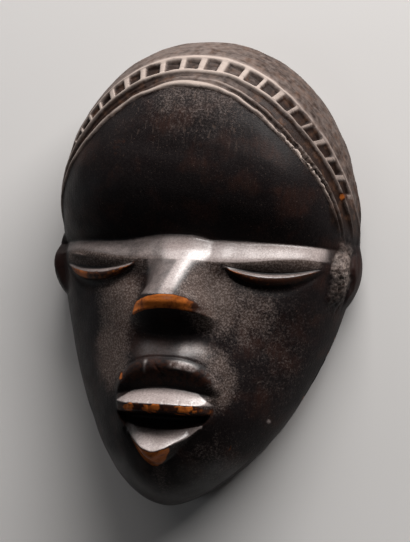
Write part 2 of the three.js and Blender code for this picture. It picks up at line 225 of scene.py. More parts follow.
def ringStart(angle):
    s = np.sin(angle)
    return mix(0.9 + 0.05 * clamp(-s) ** 12, hairline(angle), step(-0.15, 0, s))


def browAt(x):
    right, left = maskForm["browDrop"]
    return maskForm["browLine"] - np.where(x > 0, right * step(2, 9, x), left * step(3, 22, -x))


def foreheadAt(x, y):
    share, angle = polar(x, y)
    p, base = clamp(share), wallTop(angle)
    back = maskForm["foreheadSetBack"] * (np.maximum(0, 30 - y) / 20.4) ** 2 * (1 - 0.35 * p ** 4)
    height = base + (maskForm["foreheadHeight"] - base) * (1 - p ** 3.2) ** 0.5 - back
    return np.maximum(height, base + 14 * (1 - p) ** 0.5)


def domeAt(x, y):
    share, angle = polar(x, y)
    p, base = clamp(share), wallTop(angle)
    down = clamp(-np.sin(angle)) ** 6
    top = maskForm["lowerFaceHeight"] + down - base
    return base + top * (1 - p ** (2.4 + 2 * down)) ** (0.5 - 0.02 * down)


def slitAt(x):
    ax = np.abs(x)
    right, left = eyeForm["slitDrop"]
    curve = eyeForm["slitSag"] * np.minimum(1.3, ((ax - eyeForm["centre"]) / 12) ** 2)
    return curve - np.where(x > 0, right - 0.05 * np.maximum(0, ax - 12), left)


def bandEdgeAt(ax):
    return maskForm["bandEdge"] + maskForm["bandEdgeRise"] * step(14, 36, ax)


def lidAt(ax):
    off = clamp(np.abs(ax - eyeForm["centre"]) / eyeForm["half"])
    return 0.9 + eyeForm["lidThickness"] * (1 - off ** 2.4)


def tipAt(ax):
    return noseForm["tip"] - noseForm["tipSag"] * clamp(ax / noseForm["wing"]) ** 2


def noseBaseAt(ax):
    return noseForm["base"] + noseForm["baseRise"] * clamp(ax / noseForm["wing"]) ** 2.5


def noseAbove(ax, y):
    foot = np.interp(y, (-14, -4, 4, 6, 8.6), (28.5, 28, 28.6, 27.6, 26.8))
    u = clamp(ax / np.interp(y, noseForm["at"], noseForm["half"]))
    square = step(-4, -12, y)
    ridge = np.interp(y, noseForm["ridgeAt"], noseForm["ridge"])
    return foot + (ridge - foot) * (1 - u ** (2.2 + 1.2 * square)) ** (0.66 - 0.2 * square)


def upperAcross(x):
    return np.abs(x) * np.where(x > 0, mouthForm["upperRight"], 1)


def lowerAcross(x):
    return np.abs(x) * np.where(x > 0, mouthForm["lowerRight"], 1)


def lowerLipEdge(x):
    return -51.8 + 7.2 * clamp(lowerAcross(x) / mouthForm["lowerHalf"]) ** 1.6


def mouthStations(x):
    # lines of the mouth one below the other: upper lip, ledge, slot, lower lip
    upper, lower = upperAcross(x), lowerAcross(x)

    def fall(across, half, power):
        return np.clip(across / half, 0, 1.25) ** power

    m = np.clip(upper / mouthForm["half"], 0, 1.2)
    roundEnd = fall(lower, 14, 6)
    lipTop = -25.6 - 11.5 * (1 - (1 - np.minimum(1, upper / 15.7) ** 2.8) ** 0.5)
    lipEdge = lowerLipEdge(x)
    front = 1.9 * np.maximum(0.1, 1 - (lower / 6.5) ** 2)
    return [
        (lipTop, 37.7 - 6 * fall(upper, 16, 2.6)),
        (-30.8 - 5 * m ** 2, 37.2 - 5 * fall(upper, 16, 2.6)),
        (-33.8 - 2.6 * m ** 1.7, 35 - 3 * fall(upper, 16, 2.2)),
        (-38.7 + 0.9 * roundEnd, 39.8 - 5.6 * fall(lower, 14.6, 2.8)),
        (-40.9 + 0.6 * roundEnd, 39 - 5.6 * fall(lower, 14.6, 2.8)),
        (-41.5 + 0.5 * roundEnd, 30.5 - 2 * fall(lower, 14, 2)),
        (-44.7 + 2.2 * fall(lower, 12.5, 2.2), 33.2 - 4.5 * fall(lower, 14, 2)),
        (lipEdge, 38.2 - 11 * fall(lower, 12.2, 2.2)),
        (lipEdge - front, 36.8 - 11 * fall(lower, 12.2, 2.2)),
        (lipEdge - front - 0.8, None),
        (lipEdge - front - 2.4, None),
    ]


def faceHeight(px, y):
    x = px - lean(y)
    ax = np.abs(x)
    brow = browAt(x)
    z = domeAt(x, y)
    for height, middleX, middleY, sizeX, sizeY in maskForm["swells"]:
        z = z + height * np.exp(-(((ax - middleX) / sizeX) ** 2) - ((y - middleY) / sizeY) ** 2)

    # sloping band under the brow, then back down to the eye
    edge = bandEdgeAt(ax)
    crease = foreheadAt(x, brow) - 0.5 * step(44, 41, ax)
    edgeHeight = crease + (maskForm["browRise"] - 1.2 * step(26, 40, ax)) * step(44.4, 42.5, ax)
    s = (brow - y) / (brow - edge)
    lower = z + (edgeHeight - z) * (1 - step(0, 5, edge - y))
    z = np.where(s < 1, mix(crease, edgeHeight, s * (1.2 - 0.2 * s)), lower)

    # eyelids
    slit = slitAt(x)
    below = slit - y
    thick = lidAt(ax)
    swell = (thick - 0.9) / eyeForm["lidThickness"]
    inEye = plateau(ax, 11, 14.5, 36, 39) * (0.3 + 0.7 * swell)
    lid = np.interp(below / thick, eyeForm["lidAtShare"], eyeForm["lidHeight"])
    above = -eyeForm["slitDepth"] * clamp(1 - (y - slit) / (edge - slit)) ** 2.4
    z = z + inEye * np.where(below < 0, above, lid)

    # nose
    tip, foot = tipAt(ax), noseBaseAt(ax)
    fillet = np.interp(y, (-13, -8, 2, 8), (0.9, 1.8, 2.4, 2.6))
    inNose = (ax < np.interp(y, noseForm["at"], noseForm["half"])) & (y < 8.6)
    bridge = joined(z, noseAbove(ax, y), fillet)
    drop = clamp((tip - y) / (tip - foot)) ** 0.8
    under = np.maximum(z, mix(noseAbove(ax, tip), z, drop))
    z = np.where(inNose & (y >= tip), bridge, np.where(inNose & (y > foot), under, z))

    # mouth
    stations = mouthStations(x)
    stations[7] = (stations[7][0], np.maximum(stations[7][1], z + 0.3))
    stations[8] = (stations[8][0], np.maximum(stations[8][1], z + 0.2))
    stations[9] = (stations[9][0], z - 0.2)
    stations[10] = (stations[10][0], z)
    lipTop, lipTopHeight = stations[0]
    rise = 5.6 + 3.2 * clamp(ax / 13) ** 2
    t = clamp((lipTop + rise - y) / rise)
    mouth = np.where(y >= lipTop, mix(z, np.maximum(lipTopHeight, z), t * t * (1.6 - 0.6 * t)), z)
    roll = mouthForm["lipRoll"] * clamp(1.3 - ax / mouthForm["half"])
    for (y0, h0), (y1, h1) in zip(stations, stations[1:]):
        t = (y0 - y) / (y0 - y1)
        mouth = np.where((y < y0) & (y >= y1), mix(h0, h1, t) + roll * 4 * t * (1 - t), mouth)
        roll = 0 * roll
    half = np.interp(y, mouthForm["reachAt"], mouthForm["reach"])
    right = mix(mouthForm["lowerRight"], mouthForm["upperRight"], step(-38, -32, y))
    half = half / np.where(x > 0, right, 1)
    inMouth = step(half + 0.7, half - 0.9, ax) * ((y <= -19.2) & (y >= -60))
    z = mix(z, mouth, inMouth)
    return np.where(y > brow, foreheadAt(x, y), z)


class Shell:
    # the mesh under construction, with named marks on its points
    def __init__(self):
        self.points = []
        self.count = 0
        self.faces = []
        self.marks = {}

    def add(self, block, marks=None):
        first, shape = self.count, block.shape[:-1]
        self.points.append(block.reshape(-1, 3))
        self.count += len(self.points[-1])
        for name, values in (marks or {}).items():
            if np.ndim(values) <= len(shape):
                values = np.broadcast_to(values, shape)[..., None]
            found = values.reshape(self.count - first, -1)
            self.marks.setdefault(name, []).append((first, found))
        return np.arange(first, self.count).reshape(shape)

    def mark(self, name):
        values = np.zeros((self.count, self.marks[name][0][1].shape[1]))
        for first, found in self.marks[name]:
            values[first:first + len(found)] = found
        return values.squeeze()

    def grid(self, ids):
        # rows run outwards, columns run counter-clockwise
        a, b, c, d = ids[:-1, :-1], ids[1:, :-1], ids[1:, 1:], ids[:-1, 1:]
        self.faces.extend(np.stack([a, b, c, d], -1).reshape(-1, 4).tolist())

    def rings(self, ids):
        self.grid(np.hstack([ids, ids[:, :1]]))

    def bridge(self, inner, outer, innerTurns, outerTurns):
        i = j = 0
        while i < len(inner) or j < len(outer):
            a, b = inner[i % len(inner)], outer[j % len(outer)]
            nextInner = innerTurns[i + 1] if i < len(inner) else 1e9
            nextOuter = outerTurns[j + 1] if j < len(outer) else 1e9
            if nextOuter <= nextInner:
                j += 1
                c = outer[j % len(outer)]
            else:
                i += 1
                c = inner[i % len(inner)]
            self.faces.append([int(a), int(b), int(c)])


# half width of the inner face over its height
halfHeights = np.linspace(meshForm["lowest"], 12, 741)


def inFace(x, y):
    share, angle = polar(x, y)
    return share < ringStart(angle)


halfWidths = bisect(lambda x: inFace(x, halfHeights), len(halfHeights), 60.0, 26)[0] - 0.5
browHalf = float(np.interp(maskForm["browLine"], halfHeights, halfWidths)) - 0.4


def innerHalf(y):
    return np.minimum(browHalf, np.interp(y, halfHeights, halfWidths))


def hairlineOver(x):
    found = np.full_like(x, maskForm["browLine"])
    for y in np.arange(maskForm["browLine"], 55, meshForm["searchStep"]):
        found = np.where(inFace(x, y), y - 0.4, found)
    return found


def chinOver(x):
    found = np.full_like(x, meshForm["lowest"])
    unseen = np.ones_like(x, bool)
    for y in np.arange(-45, -70, -meshForm["searchStep"]):
        here = unseen & ~inFace(x, y)
        found = np.where(here, y + 0.4, found)
        unseen &= ~here
    return found


def faceLines():
    # lines across the lower face that the rows of the mesh follow, from the brow down
    def eyeLine(k):
        def line(x):
            ax = np.abs(x)
            slit, lid, edge = slitAt(x), lidAt(ax), bandEdgeAt(ax)
            corner = 1 - (lid - 0.9) / eyeForm["lidThickness"]
            eye = [edge + 0.6, mix(edge, slit, 0.5)]
            eye += [slit - share * lid - drop * corner for share, drop in eyeForm["rows"]]
            return mix(mix(7.6, -8.4, k / 9), eye[k], plateau(ax, 8, 14, 39, 44))
        return line

    def noseLine(k):
        def line(x):
            ax = np.abs(x)
            tip, foot = tipAt(ax), noseBaseAt(ax)
            at = (tip + 1.5, tip, tip - 0.4, mix(tip, foot, 0.5), foot)[k]
            return mix(mix(-10.9, -19.4, k / 4), at, step(16, 12.8, ax))
        return line

    def mouthLine(k):
        def line(x):
            ax = np.abs(x)
            at = [y for y, _ in mouthStations(x)]
            at.insert(7, mix(at[6], at[7], 0.5))
            for i in range(len(at) - 2, -1, -1):
                at[i] = np.maximum(at[i], at[i + 1] + 0.15)
            at = [mix(-20.4, at[0], 0.35), mix(-20.4, at[0], 0.72)] + at
            return mix(mix(-21.5, -52, k / 13), at[k], step(24, 15.8, ax))
        return line

    lines = [eyeLine(k) for k in range(10)] + [lambda x: 0 * x - 9.5]
    return lines + [noseLine(k) for k in range(5)] + [mouthLine(k) for k in range(14)]


def innerFace():
    u = np.linspace(-1, 1, meshForm["across"] + 1)
    across = u * browHalf
    brow, hair = browAt(across), hairlineOver(across)
    xs, ys = [], []
    for t in np.linspace(1, 0, meshForm["foreheadRows"]):
        xs.append(across)
        ys.append(mix(brow, hair, t))
    solved = [(across, brow)]
    for line in faceLines():
        y = line(across)
        for _ in range(30):
            x = u * innerHalf(y)
            y = mix(y, line(x), 0.5)
        solved.append((x, y))
    for (_, y0), (_, y1), count in zip(solved, solved[1:], meshForm["rowSteps"]):
        for j in range(1, count + 1):
            y = mix(y0, y1, j / count)
            xs.append(u * innerHalf(y))
            ys.append(y)
    xLow, yLow = solved[-1]
    chin = chinOver(xLow)
    for j in range(1, meshForm["chinRows"] + 1):
        xs.append(xLow)
        ys.append(mix(yLow, chin, j / meshForm["chinRows"]))
    xs, ys = np.array(xs), np.array(ys)
    xs = xs + lean(ys)
    return np.stack([xs, ys, roundedHeight(xs, ys)], -1)


def roundedHeight(x, y):
    # a hand-cut edge is never sharp: the mean height of a small round patch
    ax = np.abs(x)
    soft = 1 + 1.9 * bump(y, bandEdgeAt(ax), 3.5) * step(5, 14, ax)
    soft = soft + 1.2 * step(-6, 0, y) * step(12, 6, ax)
    total = 2 * faceHeight(x, y)
    for radius, weight in ((0.22, 1.0), (0.42, 0.7)):
        for turn in np.arange(8) * math.pi / 4 + radius:
            awayX, awayY = soft * radius * math.cos(turn), soft * radius * math.sin(turn)
            total = total + weight * faceHeight(x + awayX, y + awayY)
    return total / (2 + 8 * 1.7)  # all weights together


def sideProfiles(angles):
    # from the hairline or jaw line over the edge and down the wall, evenly spaced by length
    radius, start = outlineRadius(angles), ringStart(angles)
    tau = np.sin(np.linspace(0, 1, 90) * math.pi / 2)
    share = start[:, None] + (1 - start[:, None]) * tau[None]
    x, y = onPlan(angles[:, None], radius[:, None] * share)
    z = faceHeight(x, y)
    z[:, -1] = wallTop(angles)
    t = np.linspace(0, 1, 41)[1:]
    wallRadius = radius[:, None] - rimInset(angles)[:, None] * t[None] ** 1.6
    wallX, wallY = onPlan(angles[:, None], wallRadius)
    wallZ = wallTop(angles)[:, None] * (1 - t)[None]
    points = np.hstack([np.stack([x, y, z], -1), np.stack([wallX, wallY, wallZ], -1)])
    gaps = np.linalg.norm(np.diff(points, axis=1), axis=-1)
    along = np.hstack([np.zeros((len(angles), 1)), np.cumsum(gaps, 1)])
    return points, along


def rowStart(angle):
    c = np.cos(angle)
    return hairForm["rowStart"] + np.where(c > 0, hairForm["rowWidening"] * c, -0.6 * c)


def notchPhase(angle):
    t = np.linspace(-1, 1, 2001)
    uneven = t + 0.1 * (1 - t * t) + 0.045 * np.sin(math.pi * t)
    at = np.radians(90 + hairForm["notchArc"] * uneven)
    return np.interp(angle, at, (t + 1) / 2 * hairForm["notchCount"], left=-1, right=-1)


def hairRelief(angle, distance, points):
    h = hairForm
    wrapped = (angle + math.pi / 2) % (2 * math.pi) - math.pi / 2
    on = step(-0.02, 0.15, np.sin(angle))
    right = step(-0.1, 0.5, np.cos(angle))
    start = rowStart(angle)
    rowEnd = start + h["rowWidth"]
    d = distance + 0.2 * ripple(points, 9, 11, 2)
    inEdge = d < h["edgeWidth"]
    top = bump(wrapped, math.radians(90), math.radians(26))
    paleTop = bump(wrapped, math.radians(82), math.radians(40))
    double, single, crownEdge = (np.interp(d, *line) for line in h["edges"])
    edge = mix(mix(single, double, step(-0.25, 0.2, np.cos(angle))), crownEdge, top)
    plain = -(0.8 - 0.7 * top) * plateau(d, 3.0, 3.7, start - 0.5, start + 0.2)
    firstRidge, lastRidge = bump(d, start + 0.3, 1.05), bump(d, rowEnd + 0.4, 1.2)
    phase = notchPhase(wrapped)
    index = np.clip(np.floor(phase).astype(int), 0, h["notchCount"])
    part = phase - index
    vary = np.random.default_rng(5).uniform(-1, 1, (3, h["notchCount"] + 1))
    left = 0.25 + 0.07 * vary[0][index]
    rightEnd = 0.95 + 0.035 * vary[1][index]
    across = plateau(part, left - 0.05, left + 0.04, rightEnd - 0.07, rightEnd + 0.03)
    slope = 1 - 0.35 * clamp((part - left) / (rightEnd - left))
    row = plateau(d, start + 0.7, start + 1.15, rowEnd - 0.55, rowEnd - 0.1)
    pit = across * row * (phase >= 0) * (phase < h["notchCount"])
    crown = step(rowEnd + 0.8, rowEnd + 1.6, d)
    streaks = 0.28 * crown * ripple(np.stack([d * 3.2, wrapped * 9, 0 * d], -1), 9, 31, 2)
    lift = on * (edge * inEdge + plain + 0.4 * firstRidge + 0.25 * lastRidge + streaks)
    lift = lift - on * h["notchDepth"] * (1 + 0.25 * vary[2][index]) * pit * slope
    # where the dust lies: pale on ridges and bars, thin in hollows and notches
    raised = 1.6 * inEdge * clamp(edge) + firstRidge + lastRidge
    raised = clamp(raised) * (1 - 0.2 * right)
    bars = row * (1 - across) * (phase >= 0)
    hollow = plateau(d, 2.6, 3.7, start - 0.5, start)
    grey = 0.36 + 0.6 * raised + (0.65 - 0.2 * right) * bars + 0.28 * crown * (1 - 0.6 * right)
    grey = grey + 0.3 * paleTop * step(rowEnd + 3, rowEnd + 0.5, d)
    grey = grey - hollow * (0.45 - 0.35 * paleTop) - pit * (0.42 - 0.2 * paleTop)
    grey = grey - 0.3 * inEdge * clamp(-edge)
    # worm-eaten stretch of the hairline, and the darker foot of the band above the ear
    eaten = bump(wrapped, math.radians(32), math.radians(30)) * plateau(d, -0.3, 0.3, 2.2, 3.4)
    low = step(0.3, 0.12, np.sin(angle)) * step(0.1, 0.5, np.cos(angle))
    grey = grey * (1 - 0.5 * low * (1 - bump(d, 2.2, 1.6))) + 0.25 * eaten
    return lift, {
        "dusty": on * clamp(grey),
        "band": on * step(-0.3, 0.3, d),
        "eaten": on * eaten,
        "bandFlow": np.stack([d, wrapped * 36, 0 * d], -1),
    }


def earRelief(angle, distance, length, points):
    e = earForm
    y = points[..., 1]
    right, beside = np.cos(angle) > 0, np.abs(np.cos(angle)) > 0.7
    reach = np.where(right, e["right"], e["left"]) * clamp(points[..., 2] / 5)
    reach = reach * step(1.5, 4, distance) * step(length, length - 2, distance)
    window = beside * np.sqrt(bump(y, e["middle"], e["half"]))
    # inner fold and the furrow between it and the outer rim
    past = distance - 2.4 - 2.2 * step(6, -6, y) + 0.7 * ripple(points, 7, 17, 3)
    fold = np.interp(past, e["foldAt"], e["fold"]) * np.where(right, 1.0, 0.4)
    tall = beside * np.sqrt(bump(y, e["middle"] + 0.5, e["half"] + 3.5))
    eroded = tall * plateau(past, -2.6, -0.4, 4.6, 6.4) * np.where(right, 1, 0.2)
    rim = window * step(5.2, 6.6, past) * step(length, length - 1.5, distance)
    rim = np.maximum(rim, window * np.where(right, 0, 1))
    return window * (reach + fold), {"eroded": eroded, "earRim": rim}


def sideRings(angles):
    points, along = sideProfiles(angles)
    length = along[:, -1]
    hair = step(-0.1, 0.03, np.sin(angles))
    start = rowStart(angles)
    rowEnd = start + hairForm["rowWidth"] + 1.0
    # distance in the hair, share of the length elsewhere, rings up to the next stop
    stops = [
        (0 * start, 0.0, 9), (0 * start + 3.4, 0.2, 6), (start - 0.3, 0.32, 19),
        (rowEnd, 0.66, 24), (length, 1.0, 0),
    ]
    distances = []
    for (d0, s0, count), (d1, s1, _) in zip(stops, stops[1:]):
        for j in range(count):
            t = j / count
            distances.append(mix(mix(s0, s1, t) * length, mix(d0, d1, t), hair))
    distances.append(length)
    distances = np.array(distances)  # rings by angles
    rings = np.zeros(distances.shape + (3,))
    ahead = np.zeros_like(rings)
    for i in range(len(angles)):
        for k in range(3):
            back, here, on = (
                np.interp(distances[:, i] + by, along[i], points[i, :, k]) for by in (-0.2, 0, 0.2)
            )
            rings[:, i, k], ahead[:, i, k] = here, on - back
    c, s = np.cos(angles)[None], np.sin(angles)[None]
    outwards = ahead[..., 0] * c + ahead[..., 1] * s
    size = np.hypot(outwards, ahead[..., 2]) + 1e-9
    wide = np.broadcast_to(angles[None], distances.shape)
    bandLift, bandMarks = hairRelief(wide, distances, rings)
    earLift, earMarks = earRelief(wide, distances, length[None], rings)
    lift = (bandLift + earLift) * clamp(rings[..., 2] / 3)
    rings[..., 0] += lift * -ahead[..., 2] / size * c
    rings[..., 1] += lift * -ahead[..., 2] / size * s
    rings[..., 2] += lift * outwards / size
    rings[-1, :, 2] = 0
    return rings, {**bandMarks, **earMarks}


def turnsOf(count):
    return math.radians(meshForm["seam"]) + 2 * math.pi * np.arange(count) / count


def closed(turns):
    return np.append(turns, turns[0] + 2 * math.pi)


def buildShell():
    shell = Shell()
    face = innerFace()
    ids = shell.add(face)
    shell.grid(ids)
    # counter-clockwise edge of the inner face, starting beside the chin
    edge = np.concatenate([ids[:0:-1, -1], ids[0, :0:-1], ids[:-1, 0], ids[-1, :-1]])
    x, y, _ = face.reshape(-1, 3)[edge].T
    turns = np.unwrap(np.arctan2(y - maskForm["middleY"], x - lean(y)))
    angles = turnsOf(meshForm["around"])
    ringIds = shell.add(*sideRings(angles))
    shell.bridge(edge, ringIds[0], closed(turns), closed(angles))
    shell.rings(ringIds)
    # flat rim and hollow back
    backAngles = turnsOf(meshForm["backAround"])
    outer = outlineRadius(backAngles) - rimInset(backAngles)
    rimWidth, hollowDepth = backForm["rimWidth"], backForm["hollowDepth"]

    def backLoop(radius, height):
        return np.stack([*onPlan(backAngles, radius), height + 0 * radius], -1)

    back = [backLoop(outer - rimWidth * t, 0) for t in np.linspace(0.12, 1, 7)]
    for share in 1 - np.linspace(0, 1, 34)[1:] ** 1.25 * 0.97:
        depth = hollowDepth * (1 - share ** 2.6) ** 0.55
        back.append(backLoop((outer - rimWidth) * share, depth))
    backIds = shell.add(np.array(back), {"back": 1.0})
    shell.bridge(ringIds[-1], backIds[0], closed(angles), closed(backAngles))
    backFirst = len(shell.faces)
    shell.rings(backIds)
    middleY = maskForm["middleY"]
    centre = np.array([[lean(middleY), middleY, hollowDepth]])
    centre = shell.add(centre, {"back": 1.0})[0]
    for a, b in zip(backIds[-1], np.roll(backIds[-1], -1)):
        shell.faces.append([int(a), int(centre), int(b)])
    return shell, backFirst


# small marks of the carver, on top of the carved form
markForm = {
    "frontFrom": 14.0,  # height from which a point belongs to the front
    "foldMiddle": -32.6,  # extra fold at the outer corner of one eye
    "foldHalf": 3.9, "foldHeight": 0.75, "scratchDepth": 0.3,
    "ledgeCuts": (-9.6, -5.2, -2.6, 1.4, 5.6, 9.2), "ledgeCutDepth": 0.22, "lipCutDepth": 0.15,
    "lipRollHeight": 0.3,
    "nicks": ((0.5, -10.6, -45.6, 1.2), (0.35, -9.3, -47.2, 0.8)),  # depth, place and radius
    "handDepth": 0.16,  # slow unevenness left by the knife
}


def foldLine(x):
    return 3.05 - 0.17 * (x + 33)


def smallCarving(points):
    m = markForm
    x, y = points[:, 0] - lean(points[:, 1]), points[:, 1]
    onFold = bump(x, m["foldMiddle"], m["foldHalf"])
    above = y - foldLine(x)
    z = m["foldHeight"] * onFold * (bump(above, 0, 0.75) - 0.9 * bump(above, -1.1, 0.9))
    along = clamp((x + 2.3) / 2.4)
    away = np.hypot(x + 2.3 - 2.4 * along, y + 28.0 + 2.4 * along)
    z -= m["scratchDepth"] * bump(away, 0, 0.55)
    onLedge = plateau(y, -41.2, -40.6, -38.0, -36.6) * (np.abs(x) < 13.6)
    for k, at in enumerate(m["ledgeCuts"]):
        z -= m["ledgeCutDepth"] * onLedge * bump(x, at + 0.12 * np.sin(3 * y + k), 0.42)
    # outline cut round the upper lip, and the rolled edge below it
    below = y - mouthStations(x)[0][0]
    overLip = step(15.2, 13.5, upperAcross(x)) * (y > -38)
    z += m["lipRollHeight"] * overLip * bump(below, -2.4, 2.4)
    z -= m["lipCutDepth"] * overLip * bump(below, 0.1, 0.6)
    for depth, atX, atY, radius in m["nicks"]:
        z -= depth * bump(np.hypot(x - atX, y - atY), 0, radius)
    return z * (points[:, 2] > m["frontFrom"])


wearForm = {
    "ledgeStains": (  # bare wood on the ledge: from, to, strength
        (-13.2, -4, 0.35), (-10.6, -7.4, 0.7), (-4.2, 0.4, 1), (4.6, 9.6, 0.85), (10.8, 13, 0.5),
    ),
    "stainSize": 2.6,
    "bridgeAt": (-9, -4, 0, 4, 8),  # right edge of the rubbed nose ridge and its painted highlight, over its height
    "bridgeRight": (2.5, 3.2, 4.6, 8, 11),
    "highlightStreakAt": (-8, -4, 0, 4.5, 7),  # painted highlight line along the ridge
    "highlightStreakMiddle": (-0.4, 0.5, 1.8, 3.2, 5.5),
    "dustAndSheenPatches": (  # strength, middle, half sizes, turn
        (1.15, 10.5, -8, 10, 14, 0.35),
        (1.1, -17.5, -9, 10, 16, 0.2),
        (1.15, -18, -24, 8, 15, 0.15),
        (0.55, 20, -12, 13, 15, 0),
        (0.24, 28, -22, 18, 32, 0),
        (0.55, -11, 1, 5, 6, 0),
        (0.3, 12, -52, 22, 13, 0),
        (0.5, 1, -58, 4, 9, 0.35),
    ),
    "dustAndSheenUneven": 0.22,
}


def spot(x, y, middleX, middleY, halfX, halfY):
    return bump(np.hypot((x - middleX) / halfX, (y - middleY) / halfY), 0, 1)


def dustAndSheenPatch(x, y, strength, middleX, middleY, halfX, halfY, turn):
    c, s = math.cos(turn), math.sin(turn)
    u, v = (x - middleX) * c + (y - middleY) * s, (y - middleY) * c - (x - middleX) * s
    return strength * bump(np.hypot(u / halfX, v / halfY), 0, 1.15)


def colourMarks(points):
    form = wearForm
    x, y, z = points[:, 0] - lean(points[:, 1]), points[:, 1], points[:, 2]
    ax = np.abs(x)
    front = (z > markForm["frontFrom"]) * 1.0
    slit, brow, edge = slitAt(x), browAt(x), bandEdgeAt(ax)
    below = (slit - y) / lidAt(ax)
    onEye = plateau(ax, 12, 15, 35, 38)
    upperLip, lipEdge = mouthStations(x)[0][0], lowerLipEdge(x)

    # bare wood: nose, ledge, tip of the lower lip, lids, corner of the mouth
    drop = (ax / 12) ** 2
    nose = within(-12.3 - 2.5 * drop, -8.5 - 3.2 * drop, y) * step(12, 10.5, ax)
    nose = nose * (1 - 0.72 * step(1.5, 10, x))
    noseEnd = within(-12.3 - 2.5 * drop, -8.6 - 3.0 * drop, y) * step(13.8, 12, ax)
    noseEnd = 0.3 * noseEnd * (1 - 0.3 * step(8, 12, x))
    stain = ripple(points, form["stainSize"], 47, 2)
    ledge = 0.4 + 0 * x
    for low, high, strength in form["ledgeStains"]:
        ledge = np.maximum(ledge, strength * within(low, high, x + 1.3 * stain, 1.5))
    ledge = ledge * within(-41.0, -38.8, y + 0.4 * stain) * (ax < 14)
    tipReach = 3.9 * clamp(1 - ((x + 2.2) / 7.6) ** 2)
    tip = 0.75 * within(lipEdge - tipReach, lipEdge - 0.15, y, 0.25) * step(0.2, 1.4, tipReach)
    corner = 0.75 * spot(x, y, -13.3, -31.2, 1.7, 2.4)
    lids = np.where(x < 0, 0.45 + 0.25 * bump(x, -31.5, 4.5), 0.4)
    lids = lids * within(0.3, 0.8, below, 0.06) * onEye
    lipFace = 0.3 * within(-33.5, upperLip - 0.4, y, 0.5) * step(14.5, 13, ax)
    worn = front * np.maximum.reduce([nose, noseEnd, ledge, tip, corner, lids, lipFace])
    worn = worn + 0.25 * front * spot(x, y, -18, 33, 9, 9)
    worn = worn + 0.5 * step(4.5, 1.5, z) * step(-10, -30, y) * step(2, 8, x)

    # rubbed faces with painted highlights, and polished faces: brow band, nose ridge, lips, lids,
    # philtrum
    left = step(0, -6, x)
    band = plateau(y, edge - 0.7 - 0.8 * left, edge - 0.1 + left, brow - 0.4, brow + 0.2)
    band = band * step(41, 38, ax)
    # painted highlight on the brow band, brightest right of the nose, over some real rubbing
    bandRubAndPaintedHighlight = band * mix(0.46, 1.0, step(-7, 0, x)) * (1 - 0.25 * step(12, 34, x)) * step(42, 36, x)
    bandShine = band * (step(-8, -3, x) * (1 - 0.7 * step(9, 26, x)) + 0.1)
    # the nose ridge is grey from rubbing and a painted highlight; the streak is a painted highlight
    # line
    right = np.interp(y, form["bridgeAt"], form["bridgeRight"])
    ridge = within(-8.6, brow, y, 0.4)
    bridge = ridge * step(-10.5, -8, x) * step(right + 1.2, right - 1.2, x)
    streak = bump(x - np.interp(y, form["highlightStreakAt"], form["highlightStreakMiddle"]), 0, 3.8)
    streak = streak * ridge * step(right + 6, right - 0.5, x)
    # ledge top and lower lip top: rubbed wear with a painted highlight, darker to the left, the
    # lower lip brightest near its edge right of the middle
    ledgeBack = -33.9 - 2.6 * clamp(ax / 16) ** 1.7 - 2.0 * step(9, 14.5, ax)
    ledgeTop = within(-38.6 + 0.5 * step(10, 14, ax), ledgeBack, y, 0.25) * step(14.6, 13.2, ax)
    lipBack = -45.2 + 2.2 * clamp(ax / 12.5) ** 2.2
    lipTop = within(lipEdge + 0.1, lipBack, y, 0.4) * step(11.8, 10.8, ax)
    lipTop = lipTop * (0.62 + 0.38 * step(-7, 1, x) * step(5.5, 2.5, y - lipEdge))
    lipTop = lipTop * mix(0.6, 1, step(-10, -4, x))
    # painted highlights: top edge of the lids, beside the philtrum, rolled edge of the upper lip,
    # fold at one eye's corner, glint on the upper lip
    lidEdge = within(0.06, 0.38, below, 0.07) * onEye
    philtrum = within(-25.4, -20.5, y, 0.8) * step(14, 9, ax)
    philtrumShine = spot(x - 0.5 * (y + 23), y, 6, -22.6, 8.5, 4.2)
    speck = 0.8 * spot(x, y, 26.2, -40.9, 0.7, 1.12)
    roll = np.sqrt(bump(y - upperLip, -1.8, 1.5) * bump(x, 5.5, 4.8))
    fold = 0.6 * bump(y, foldLine(x), 0.8) * bump(x, markForm["foldMiddle"], markForm["foldHalf"])
    glint = within(-30.3, -26.4, y) * bump(x, -5.4, 0.9)
    noseGlint = within(-9.9, -8.8, y, 0.2) * bump(x, 0.3, 2.4)
    # the grey column paints highlights as well as rubbed wear
    faces = (  # where, how grey, how glossy
        (bandRubAndPaintedHighlight, 1, 0), (bandShine, 0, 1), (bridge, 0.44, 0.3), (streak, 0.95, 1),
        (ledgeTop * mix(0.6, 1, step(-13, -7, x)), 0.95, 0), (ledgeTop, 0, 1), (lipTop, 0.95, 0.8),
        (lidEdge, 0.5, 0.4), (philtrum, 0, 0.25), (philtrumShine, 0.42, 0.75), (roll, 1, 1),
        (glint, 0.4, 0.7), (noseGlint, 0, 1), (fold, 1, 0), (speck, 1, 0),
    )
    rubbedAndPaintedHighlight = np.maximum.reduce([grey * where for where, grey, _ in faces])
    polished = np.maximum.reduce([gloss * where for where, _, gloss in faces])

    # film of old dust that also stands in for sheen: forehead, cheeks, round the mouth; and painted
    # light on the shaded underside of the brow band
    forehead = 0.2 * step(24, 40, y) * step(27, 6, np.abs(x - 3))
    forehead = forehead + 0.24 * step(36, 50, y) * step(26, 12, np.abs(x - 8))
    mouthRing = 0.7 * bump(np.hypot((x - 1) / 15, (y + 32) / 12), 1, 0.42)
    mouthRing = mouthRing * step(1, 6, x) * plateau(y, -44, -36, -23, -20)
    film = [dustAndSheenPatch(x, y, *patch) for patch in form["dustAndSheenPatches"]]
    film = np.maximum.reduce([forehead, mouthRing, *film])
    film = film * (1 + form["dustAndSheenUneven"] * ripple(points, 5, 41, 2))
